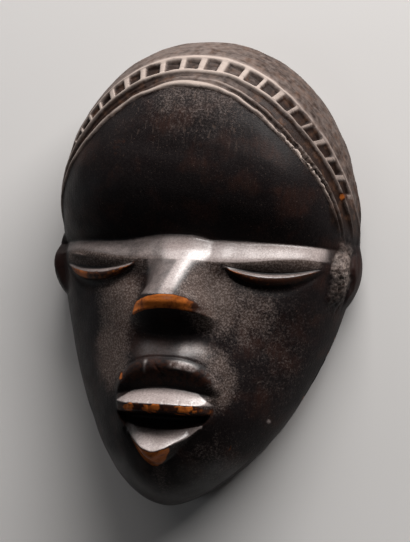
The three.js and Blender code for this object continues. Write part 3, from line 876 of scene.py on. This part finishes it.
    # painted light on the shaded underside of the brow band, above the eye slit
    paintedLightUnderBrow = 0.95 * within(slit + 0.2, edge + 0.2, y, 0.4) * step(39, 36, ax)
    found = {
        "worn": worn,
        "rubbedAndPaintedHighlight": front * rubbedAndPaintedHighlight,
        "polished": front * polished,
        "dustAndSheen": front * np.maximum(film, paintedLightUnderBrow),
        "sheen": front * step(-50, -56, y),
        "scratched": front * step(28, 40, y) * step(26, 14, np.abs(x + 1)),
    }
    return {name: clamp(values) for name, values in found.items()}


shell, backFirst = buildShell()
points = np.concatenate(shell.points)
marks = {name: shell.mark(name) for name in ("dusty", "band", "eroded", "eaten", "earRim", "back")}
offBack = 1 - marks["back"]
offBand = 1 - marks["band"]
for name, values in colourMarks(points).items():
    marks[name] = values * offBack * offBand
marks["free"] = step(1.5, 5, points[:, 2]) * offBack + step(0.5, 4, points[:, 2]) * marks["back"]
points[:, 2] += smallCarving(points) * offBack * offBand
points[:, 2] += markForm["handDepth"] * ripple(points, 16, 21, 2) * marks["free"]
plainX, plainY = points[:, 0] - lean(points[:, 1]), points[:, 1].copy()
centreShift = (points[:, :2].min(0) + points[:, :2].max(0)) / 2
points[:, :2] -= centreShift
mesh = bpy.data.meshes.new("carvedMask")
mesh.from_pydata((points / 1000).tolist(), [], shell.faces)
mesh.polygons.foreach_set("use_smooth", np.ones(len(mesh.polygons), bool))


def bentness(mesh):
    # how far each point stands out from its neighbours, in units of their distance, evened out
    count = len(mesh.vertices)
    place, normal = np.zeros(count * 3), np.zeros(count * 3)
    mesh.vertices.foreach_get("co", place)
    mesh.vertex_normals.foreach_get("vector", normal)
    place, normal = place.reshape(-1, 3), normal.reshape(-1, 3)
    ends = np.zeros(len(mesh.edges) * 2, int)
    mesh.edges.foreach_get("vertices", ends)
    a, b = ends.reshape(-1, 2).T
    near = np.maximum(np.bincount(a, minlength=count) + np.bincount(b, minlength=count), 1)

    def meanOf(atA, atB):
        return (np.bincount(a, atA, count) + np.bincount(b, atB, count)) / near

    between = place[a] - place[b]
    square = (np.linalg.norm(between, axis=1) + 1e-9) ** 2
    total = meanOf((between * normal[a]).sum(1) / square, (-between * normal[b]).sum(1) / square)
    total = np.clip(total, -4000, 4000)
    for _ in range(4):
        total = 0.4 * total + 0.6 * meanOf(total[b], total[a])
    return total / 1000


bend = 2.2 * bentness(mesh)
underLip = plainY - lowerLipEdge(plainX)
shadeBesideLip = plateau(underLip, -4.5, -3.2, -0.7, -0.1)
shadeBesideLip = shadeBesideLip * step(5.5, 8, np.abs(plainX)) * (np.abs(plainX) < 14)
overBrow = plainY - browAt(plainX)
front = points[:, 2] > markForm["frontFrom"]
onBrow = step(-4, -2.5, overBrow) * (overBrow < 0.3) * front
chip = spot(plainX, plainY, 41.5, 22.9, 1.5, 2.0) * offBack
marks["outer"] = clamp(bend)
# painted shade: darker in concave creases and on the wedge beside the lower lip's edge, less on the
# brow band
marks["inner"] = clamp(np.maximum(-bend, shadeBesideLip * front) * (1 - 0.8 * onBrow))
marks["worn"] = np.maximum(marks["worn"], 0.8 * chip)
marks["dusty"] = marks["dusty"] * (1 - 0.8 * chip)
for name, values in marks.items():
    layer = mesh.attributes.new(name, "FLOAT", "POINT")
    layer.data.foreach_set("value", values.astype(np.float32))
flowLayer = mesh.attributes.new("bandFlow", "FLOAT_VECTOR", "POINT")
flowLayer.data.foreach_set("vector", shell.mark("bandFlow").astype(np.float32).ravel())
triangles = sum(len(polygon.vertices) - 2 for polygon in mesh.polygons)
print("mask mesh:", len(mesh.vertices), "points,", triangles, "triangles")


class Wiring:
    # places and joins the nodes of one tree; a value is a number, a colour, a name or a socket
    def __init__(self, tree):
        self.tree = tree
        self.place = None

    def feed(self, socket, value):
        if isinstance(value, bpy.types.NodeSocket):
            self.tree.links.new(value, socket)
        else:
            socket.default_value = value

    def put(self, kind, **values):
        node = self.tree.nodes.new(kind)
        for key, value in values.items():
            if hasattr(node, key):
                setattr(node, key, value)
            else:
                self.feed(node.inputs[key.replace("_", " ")], value)
        return node

    def calc(self, operation, *values, limit=False):
        node = self.put("ShaderNodeMath", operation=operation, use_clamp=limit)
        for socket, value in zip(node.inputs, values):
            self.feed(socket, value)
        return node.outputs[0]

    def times(self, a, b):
        return self.calc("MULTIPLY", a, b, limit=True)

    def plus(self, a, b):
        return self.calc("ADD", a, b, limit=True)

    def minus(self, a, b):
        return self.calc("SUBTRACT", a, b)

    def larger(self, a, b):
        return self.calc("MAXIMUM", a, b)

    def ramp(self, source, low, high):
        node = self.put("ShaderNodeMapRange", interpolation_type="SMOOTHSTEP", Value=source)
        node.inputs["From Min"].default_value, node.inputs["From Max"].default_value = low, high
        return node.outputs["Result"]

    def blend(self, share, a, b):
        node = self.put("ShaderNodeMix", data_type="RGBA")
        colours = [n for n in node.inputs if n.type == "RGBA"]
        for socket, value in zip((node.inputs[0], *colours), (share, a, b)):
            self.feed(socket, value)
        return next(n for n in node.outputs if n.type == "RGBA")

    def noise(self, scale, detail=4.0, roughness=0.55, stretch=None, vector=None):
        vector = self.place if vector is None else vector
        if stretch:
            vector = self.put("ShaderNodeMapping", Vector=vector, Scale=stretch).outputs["Vector"]
        grain = {"Scale": scale, "Detail": detail, "Roughness": roughness}
        return self.put("ShaderNodeTexNoise", Vector=vector, **grain).outputs["Fac"]

    def bumps(self, height, relief):
        return self.put("ShaderNodeBump", Height=height, **relief).outputs["Normal"]

    def mark(self, name, output="Fac"):
        return self.put("ShaderNodeAttribute", attribute_name=name).outputs[output]

    def group(self, tree, **values):
        return self.put("ShaderNodeGroup", node_tree=tree, Vector=self.place, **values).outputs


def newGroup(name, inputs, outputs):
    tree = bpy.data.node_groups.new(name, "ShaderNodeTree")
    tree.interface.new_socket("Vector", in_out="INPUT", socket_type="NodeSocketVector")
    for label, value in inputs.items():
        kind = "NodeSocketColor" if isinstance(value, tuple) else "NodeSocketFloat"
        tree.interface.new_socket(label, in_out="INPUT", socket_type=kind).default_value = value
    for label, kind in outputs.items():
        tree.interface.new_socket(label, in_out="OUTPUT", socket_type=kind)
    w = Wiring(tree)
    given = w.put("NodeGroupInput").outputs
    w.place = given["Vector"]
    return w, given, w.put("NodeGroupOutput").inputs


def makeWoodTone():
    # slow blotches and fine fibres of old stained wood
    w, given, result = newGroup(
        "woodTone",
        {"Dark": (0, 0, 0, 1), "Warm": (0, 0, 0, 1), "Blotch Scale": 90.0, "Fibre Scale": 1400.0},
        {"Color": "NodeSocketColor", "Fibre": "NodeSocketFloat"},
    )
    blotch = w.ramp(w.noise(given["Blotch Scale"], 5.0, 0.5), 0.46, 0.68)
    streak = w.ramp(w.noise(given["Fibre Scale"], 3.0, 0.5, (1, 0.09, 1)), 0.35, 0.7)
    share = w.times(blotch, w.plus(w.times(streak, 0.5), 0.5))
    w.feed(result["Color"], w.blend(share, given["Dark"], given["Warm"]))
    w.feed(result["Fibre"], streak)
    return w.tree


def makeBrokenMask():
    # breaks a soft mask up into ragged edges: of real wear and dust, and of painted sheen and
    # highlights
    w, given, result = newGroup(
        "brokenMask", {"Mask": 0.5, "Scale": 700.0, "Raggedness": 0.5}, {"Mask": "NodeSocketFloat"},
    )
    swing = w.minus(w.noise(given["Scale"], 6.0, 0.65), 0.5)
    broken = w.calc("MULTIPLY_ADD", swing, given["Raggedness"], given["Mask"])
    w.feed(result["Mask"], w.ramp(broken, 0.15, 0.85))
    return w.tree


def makeSpeckle():
    # scattered light specks and pits of a handled surface
    w, given, result = newGroup(
        "speckle", {"Scale": 900.0, "Size": 0.16, "Share": 0.3}, {"Mask": "NodeSocketFloat"},
    )
    cells = w.put("ShaderNodeTexVoronoi", Vector=w.place, Scale=given["Scale"]).outputs
    chance = w.put("ShaderNodeSeparateColor", Color=cells["Color"]).outputs
    chosen = w.calc("LESS_THAN", chance["Red"], given["Share"])
    size = w.times(given["Size"], w.plus(chance["Green"], 0.4))
    w.feed(result["Mask"], w.times(chosen, w.calc("LESS_THAN", cells["Distance"], size)))
    return w.tree


woodTone, brokenMask, speckle = makeWoodTone(), makeBrokenMask(), makeSpeckle()


def fill(inputs, values):
    for name, value in values.items():
        inputs[name].default_value = value


def newMaterial(name):
    material = bpy.data.materials.new(name)
    material.use_nodes = True
    w = Wiring(material.node_tree)
    w.place = w.put("ShaderNodeTexCoord").outputs["Object"]
    return material, w, w.tree.nodes["Principled BSDF"].inputs


patinaLook = {
    "dark": (0.0045, 0.0031, 0.0033, 1),
    "warm": (0.015, 0.0066, 0.005, 1),
    "grain": (0.15, 0.127, 0.12, 1),
    "earBrown": (0.012, 0.0045, 0.0035, 1),
    "bandDark": (0.013, 0.007, 0.0052, 1),
    "bandWarm": (0.052, 0.026, 0.0155, 1),
    "bareWood": (0.33, 0.092, 0.016, 1),
    "bareWoodWarm": (0.11, 0.027, 0.0075, 1),
    "wornDeep": (0.022, 0.0085, 0.0052, 1),
    "dust": (0.135, 0.109, 0.098, 1),
    "dustPale": (0.27, 0.225, 0.2, 1),
    "dustDeep": (0.075, 0.052, 0.042, 1),
    "rubbedAndPaintedHighlight": (0.25, 0.21, 0.2, 1),
    "rubbedAndPaintedHighlightDeep": (0.13, 0.104, 0.097, 1),
    "cutShade": (0.004, 0.003, 0.003, 1),
    "dustAndSheenEdge": {"Scale": 1000.0, "Raggedness": 0.8},
    "rubbedAndPaintedHighlightEdge": {"Scale": 260.0, "Raggedness": 0.5},
    "dustEdge": {"Scale": 640.0, "Raggedness": 0.75},
    "wornEdge": {"Scale": 600.0, "Raggedness": 0.6},
    "largeSpecks": {"Scale": 900.0, "Size": 0.17, "Share": 0.16},
    "fineSpecks": {"Scale": 2100.0, "Size": 0.32, "Share": 0.3},
    "wormHoles": {"Scale": 800.0, "Size": 0.4, "Share": 0.7},
    "pores": {"Scale": 1500.0, "Size": 0.22, "Share": 0.3},
    "roughness": 0.3,  # of the smoothest patches
    "gloss": {"Specular IOR Level": 0.08, "Coat IOR": 1.75, "Coat Roughness": 0.33},
    "relief": {"Strength": 0.5, "Distance": 0.00022},
}


def makePatina():
    look = patinaLook
    material, w, shader = newMaterial("oldPatina")

    def woodOf(dark, warm, blotch, fibre):
        scales = {"Blotch_Scale": blotch, "Fibre_Scale": fibre}
        return w.group(woodTone, Dark=look[dark], Warm=look[warm], **scales)

    def broken(mask, edge):
        return w.group(brokenMask, Mask=mask, **look[edge])["Mask"]

    def specksOf(name):
        return w.group(speckle, **look[name])["Mask"]

    tone = woodOf("dark", "warm", 110.0, 1400.0)
    # the dust film, which also stands in for sheen, lightens the grain
    film = broken(w.mark("dustAndSheen"), "dustAndSheenEdge")
    grain = w.ramp(w.noise(2000.0, 5.0, 0.75), 0.45, 0.62)
    colour = w.blend(w.times(grain, w.plus(w.times(film, 0.8), 0.03)), tone["Color"], look["grain"])
    # dull film of old dust, which also stands in for sheen, thicker where the mark says so
    fineSpecks = w.times(specksOf("fineSpecks"), w.ramp(w.noise(130.0), 0.35, 0.7))
    specks = w.larger(specksOf("largeSpecks"), fineSpecks)
    specks = w.times(specks, w.plus(w.times(w.mark("dustAndSheen"), 0.9), 0.3))
    colour = w.blend(w.plus(w.times(film, 0.4), specks), colour, look["dustDeep"])
    # brown ground of the hair band and the ears
    brown = woodOf("bandDark", "bandWarm", 380.0, 1100.0)
    colour = w.blend(w.mark("band"), colour, brown["Color"])
    colour = w.blend(w.times(w.mark("earRim"), 0.85), colour, look["earBrown"])
    # rubbed grey faces, much of the grey a painted highlight
    rubbedAndPaintedHighlightTone = w.ramp(w.noise(1900.0, 6.0, 0.8), 0.34, 0.64)
    rubbedAndPaintedHighlightTone = w.blend(rubbedAndPaintedHighlightTone, look["rubbedAndPaintedHighlightDeep"], look["rubbedAndPaintedHighlight"])
    colour = w.blend(broken(w.mark("rubbedAndPaintedHighlight"), "rubbedAndPaintedHighlightEdge"), colour, rubbedAndPaintedHighlightTone)
    # scratches on the upper forehead
    lines = w.noise(1500.0, 2.0, 0.5, (1, 0.05, 1))
    scratch = w.times(w.ramp(lines, 0.62, 0.7), w.mark("scratched"))
    colour = w.blend(w.times(scratch, 0.3), colour, look["dustDeep"])
    # dust in the hair band and on the ears, drawn out along the band
    eroded, dusty = w.mark("eroded"), w.mark("dusty")
    eaten = w.larger(eroded, w.mark("eaten"))
    strokes = w.noise(1.0, 4.0, 0.6, (1.5, 0.22, 1), w.mark("bandFlow", "Vector"))
    dustMask = w.times(dusty, w.plus(w.times(w.ramp(strokes, 0.36, 0.64), 0.4), 0.68))
    dust = broken(w.larger(dustMask, w.times(eroded, 0.5)), "dustEdge")
    dustTone = woodOf("dust", "dustDeep", 420.0, 900.0)
    deepShare = w.times(w.ramp(strokes, 0.48, 0.68), 0.75)
    dustTone = w.blend(deepShare, dustTone["Color"], look["dustDeep"])
    paleShare = w.larger(w.ramp(dusty, 0.7, 1.05), w.times(eroded, grain))
    colour = w.blend(dust, colour, w.blend(paleShare, dustTone, look["dustPale"]))
    # bare wood where hands and shelves rubbed the edges
    edges = w.times(w.times(w.mark("outer"), 0.55), w.minus(1.0, w.mark("band")))
    worn = broken(w.larger(w.mark("worn"), edges), "wornEdge")
    wood = woodOf("bareWood", "bareWoodWarm", 500.0, 1300.0)
    wornTone = w.blend(w.ramp(worn, 0.3, 0.9), look["wornDeep"], wood["Color"])
    colour = w.blend(w.ramp(worn, 0.02, 0.25), colour, wornTone)
    # darker worm holes, and painted shade in concave creases and beside the lower lip
    holes = w.times(specksOf("wormHoles"), eaten)
    colour = w.blend(w.times(holes, 0.8), colour, look["bandDark"])
    colour = w.blend(w.times(w.mark("inner"), 0.75), colour, look["cutShade"])
    w.feed(shader["Base Color"], colour)

    # gloss: rubbed faces shine, dust and bare wood are dull
    patches = w.noise(240.0, 5.0)
    rough = w.plus(w.times(patches, 0.3), look["roughness"])
    rough = w.minus(rough, w.times(w.mark("polished"), 0.16))
    rough = w.plus(w.plus(rough, w.times(dust, 0.22)), w.times(film, 0.15))
    w.feed(shader["Roughness"], rough)
    bright = w.ramp(w.noise(1500.0, 5.0, 0.7), 0.34, 0.62)
    shine = w.times(w.mark("polished"), w.plus(w.times(bright, 0.5), 0.5))
    shine = w.plus(shine, w.times(w.mark("sheen"), w.times(patches, 0.5)))
    w.feed(shader["Coat Weight"], shine)
    fill(shader, look["gloss"])

    # fine relief: fibres, pores, scratches, pits and the crust of dust
    height = w.plus(w.times(tone["Fibre"], 0.14), w.times(w.noise(1900.0, 5.0, 0.6), 0.6))
    height = w.minus(height, w.times(specksOf("pores"), 0.3))
    height = w.minus(w.minus(height, w.times(scratch, 0.35)), holes)
    height = w.plus(height, w.times(w.times(strokes, w.mark("band")), 0.8))
    height = w.plus(height, w.times(w.noise(900.0, 6.0, 0.7), dust))
    w.feed(shader["Normal"], w.bumps(height, look["relief"]))
    return material


backLook = {
    "wood": {"Dark": (0.022, 0.013, 0.009, 1), "Warm": (0.075, 0.038, 0.02, 1)},
    "grain": {"Blotch_Scale": 150.0, "Fibre_Scale": 1000.0},
    "dust": (0.16, 0.125, 0.1, 1),
    "dustEdge": {"Mask": 0.32, "Scale": 300.0, "Raggedness": 1.0},
    "roughness": 0.6,
    "relief": {"Strength": 0.6, "Distance": 0.0003},
}


def makeHollowWood():
    look = backLook
    material, w, shader = newMaterial("hollowWood")
    tone = w.group(woodTone, **look["wood"], **look["grain"])
    film = w.group(brokenMask, **look["dustEdge"])["Mask"]
    w.feed(shader["Base Color"], w.blend(w.times(film, 0.5), tone["Color"], look["dust"]))
    w.feed(shader["Roughness"], w.plus(w.times(film, 0.2), look["roughness"]))
    height = w.plus(w.times(tone["Fibre"], 0.5), w.times(w.noise(1200.0, 5.0, 0.6), 0.5))
    w.feed(shader["Normal"], w.bumps(height, look["relief"]))
    return material


oldPatina, hollowWood = makePatina(), makeHollowWood()
print("finishes ready")

# knife facets and worm-like pitting as a Geometry Nodes tree
handWork = {
    "Facet Size": 5.5, "Facet Depth": 0.16, "Pit Size": 0.9, "Pit Depth": 0.5,
    "Crust Depth": 0.12, "Seed": 7.0,
}


def makeHandWork(settings, material):
    w = Wiring(bpy.data.node_groups.new("handWork", "GeometryNodeTree"))
    sockets = w.tree.interface
    for way in ("INPUT", "OUTPUT"):
        sockets.new_socket("Geometry", in_out=way, socket_type="NodeSocketGeometry")
    for name, value in settings.items():
        socket = sockets.new_socket(name, in_out="INPUT", socket_type="NodeSocketFloat")
        socket.default_value = value
    given = w.put("NodeGroupInput").outputs
    place = w.put("GeometryNodeInputPosition").outputs[0]
    normal = w.put("GeometryNodeInputNormal").outputs[0]

    def named(name):
        node = w.put("GeometryNodeInputNamedAttribute", data_type="FLOAT", Name=name)
        return node.outputs["Attribute"]

    def metres(share, depth):
        return w.calc("DIVIDE", w.times(share, given[depth]), 1000.0)

    def texture(kind, size, **values):
        scale = w.calc("DIVIDE", 1000.0, given[size])
        return w.put(kind, Vector=place, Scale=scale, **values).outputs

    def pitNoise(detail, shift):
        seed = w.minus(given["Seed"], shift)
        grain = {"noise_dimensions": "4D", "W": seed, "Detail": detail}
        return texture("ShaderNodeTexNoise", "Pit Size", **grain)["Fac"]

    cells = texture("ShaderNodeTexVoronoi", "Facet Size", feature="SMOOTH_F1")
    facets = metres(cells["Distance"], "Facet Depth")
    eaten = w.plus(named("eroded"), named("eaten"))
    dents = metres(w.times(w.ramp(pitNoise(3.0, 0.0), 0.45, 0.62), eaten), "Pit Depth")
    crust = metres(w.times(pitNoise(4.0, 3.0), named("band")), "Crust Depth")
    lift = w.calc("MULTIPLY", w.minus(w.minus(crust, facets), dents), named("free"))
    offset = w.put("ShaderNodeVectorMath", operation="SCALE", Vector=normal, Scale=lift).outputs[0]
    moved = w.put("GeometryNodeSetPosition", Geometry=given["Geometry"], Offset=offset).outputs[0]
    real = w.put("GeometryNodeRealizeInstances", Geometry=moved).outputs[0]
    finish = w.put("GeometryNodeSetMaterial", Geometry=real, Material=material).outputs[0]
    w.feed(w.put("NodeGroupOutput").inputs[0], finish)
    return w.tree


def addObject(name, data):
    thing = bpy.data.objects.new(name, data)
    bpy.context.collection.objects.link(thing)
    return thing


rawMask = addObject("rawMask", mesh)
handTree = makeHandWork(handWork, oldPatina)
modifier = rawMask.modifiers.new("handWork", "NODES")
modifier.node_group = handTree
for item in handTree.interface.items_tree:
    if item.in_out == "INPUT" and item.name in handWork:
        modifier[item.identifier] = handWork[item.name]
graph = bpy.context.evaluated_depsgraph_get()
worked = bpy.data.meshes.new_from_object(rawMask.evaluated_get(graph))
bpy.data.objects.remove(rawMask)
carvedMask = addObject("carvedMask", worked)
worked.materials.clear()
for finish in (oldPatina, hollowWood):
    worked.materials.append(finish)
slots = np.zeros(len(worked.polygons), int)
slots[backFirst:] = 1
worked.polygons.foreach_set("material_index", slots)
worked.polygons.foreach_set("use_smooth", np.ones(len(worked.polygons), bool))
worked.update()

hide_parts("carved_mask")
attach(carvedMask, "root")
print("mask carved")

floorForm = {"half": 3, "height": -0.0002}
floorLook = {"Base Color": (0.46, 0.455, 0.45, 1), "Roughness": 0.9}
half, height = floorForm["half"], floorForm["height"]
corners = [(a * half, b * half, height) for a, b in ((-1, -1), (1, -1), (1, 1), (-1, 1))]
floorMesh = bpy.data.meshes.new("studioFloor")
floorMesh.from_pydata(corners, [], [(0, 1, 2, 3)])
studioFloor = addObject("studioFloor", floorMesh)
floorPaint = bpy.data.materials.new("floorPaint")
floorPaint.use_nodes = True
fill(floorPaint.node_tree.nodes["Principled BSDF"].inputs, floorLook)
floorMesh.materials.append(floorPaint)

cameraView = {
    "yaw": 18.0, "pitch": -5.0, "roll": 4.0, "distance": 750.0, "perPixel": 0.2814,
    "pixelsHigh": 542, "aim": (5.0, 0.0, 20.0),
    "shift": (-2, 1),  # pixels to the right and up
    "sensor": 36,
}


def placeCamera(view):
    yaw, pitch, roll = (math.radians(view[k]) for k in ("yaw", "pitch", "roll"))
    flat = math.cos(pitch)
    back = np.array([math.sin(yaw) * flat, math.sin(pitch), math.cos(yaw) * flat])
    right = np.array([math.cos(yaw), 0, -math.sin(yaw)])
    up = np.cross(back, right)
    c, s = math.cos(roll), math.sin(roll)
    right, up = right * c + up * s, up * c - right * s
    aim = np.array(view["aim"]) - np.append(centreShift, 0)
    aim = aim + (right * view["shift"][0] + up * view["shift"][1]) * view["perPixel"]
    place = (aim + back * view["distance"]) / 1000
    camera = addObject("camera", bpy.data.cameras.new("camera"))
    camera.data.sensor_fit = "VERTICAL"
    camera.data.sensor_height = view["sensor"]
    camera.data.lens = view["sensor"] * view["distance"] / (view["pixelsHigh"] * view["perPixel"])
    camera.data.clip_start = 0.05
    rows = np.column_stack([right, up, back, place]).tolist()
    camera.matrix_world = Matrix(rows + [[0, 0, 0, 1]])
    bpy.context.scene.camera = camera


placeCamera(cameraView)

lamps = {  # direction, distance, size, power, tint
    "crownBox": ((0.38, 0.86, 0.42), 0.9, (1.0, 0.5), 26.0, (1.0, 0.97, 0.95)),
    "crownLeft": ((-0.5, 0.8, 0.3), 0.9, (0.6, 0.3), 2.6, (1.0, 0.95, 0.93)),
    "leftFill": ((-1.0, -0.15, 0.3), 0.9, (0.25, 0.5), 0.5, (0.88, 0.94, 1.0)),
    "frontFill": ((-0.3, -0.3, 0.9), 1.1, (0.45, 0.3), 0.45, (1.0, 0.97, 0.95)),
}
lampAim = Vector((0, 0, 0.02))
for name, (way, far, size, power, tint) in lamps.items():
    light = bpy.data.lights.new(name, "AREA")
    light.shape = "RECTANGLE"
    light.size, light.size_y = size
    light.energy = power
    light.color = tint
    holder = addObject(name, light)
    way = Vector(way).normalized()
    holder.location = way * far + lampAim
    holder.rotation_euler = way.to_track_quat("Z", "Y").to_euler()

roomLight = {"Color": (0.5, 0.52, 0.55, 1), "Strength": 0.04}
world = bpy.data.worlds.new("studio")
world.use_nodes = True
fill(world.node_tree.nodes["Background"].inputs, roomLight)
bpy.context.scene.world = world
bpy.context.scene.view_settings.view_transform = "Standard"
print("camera and lights set")
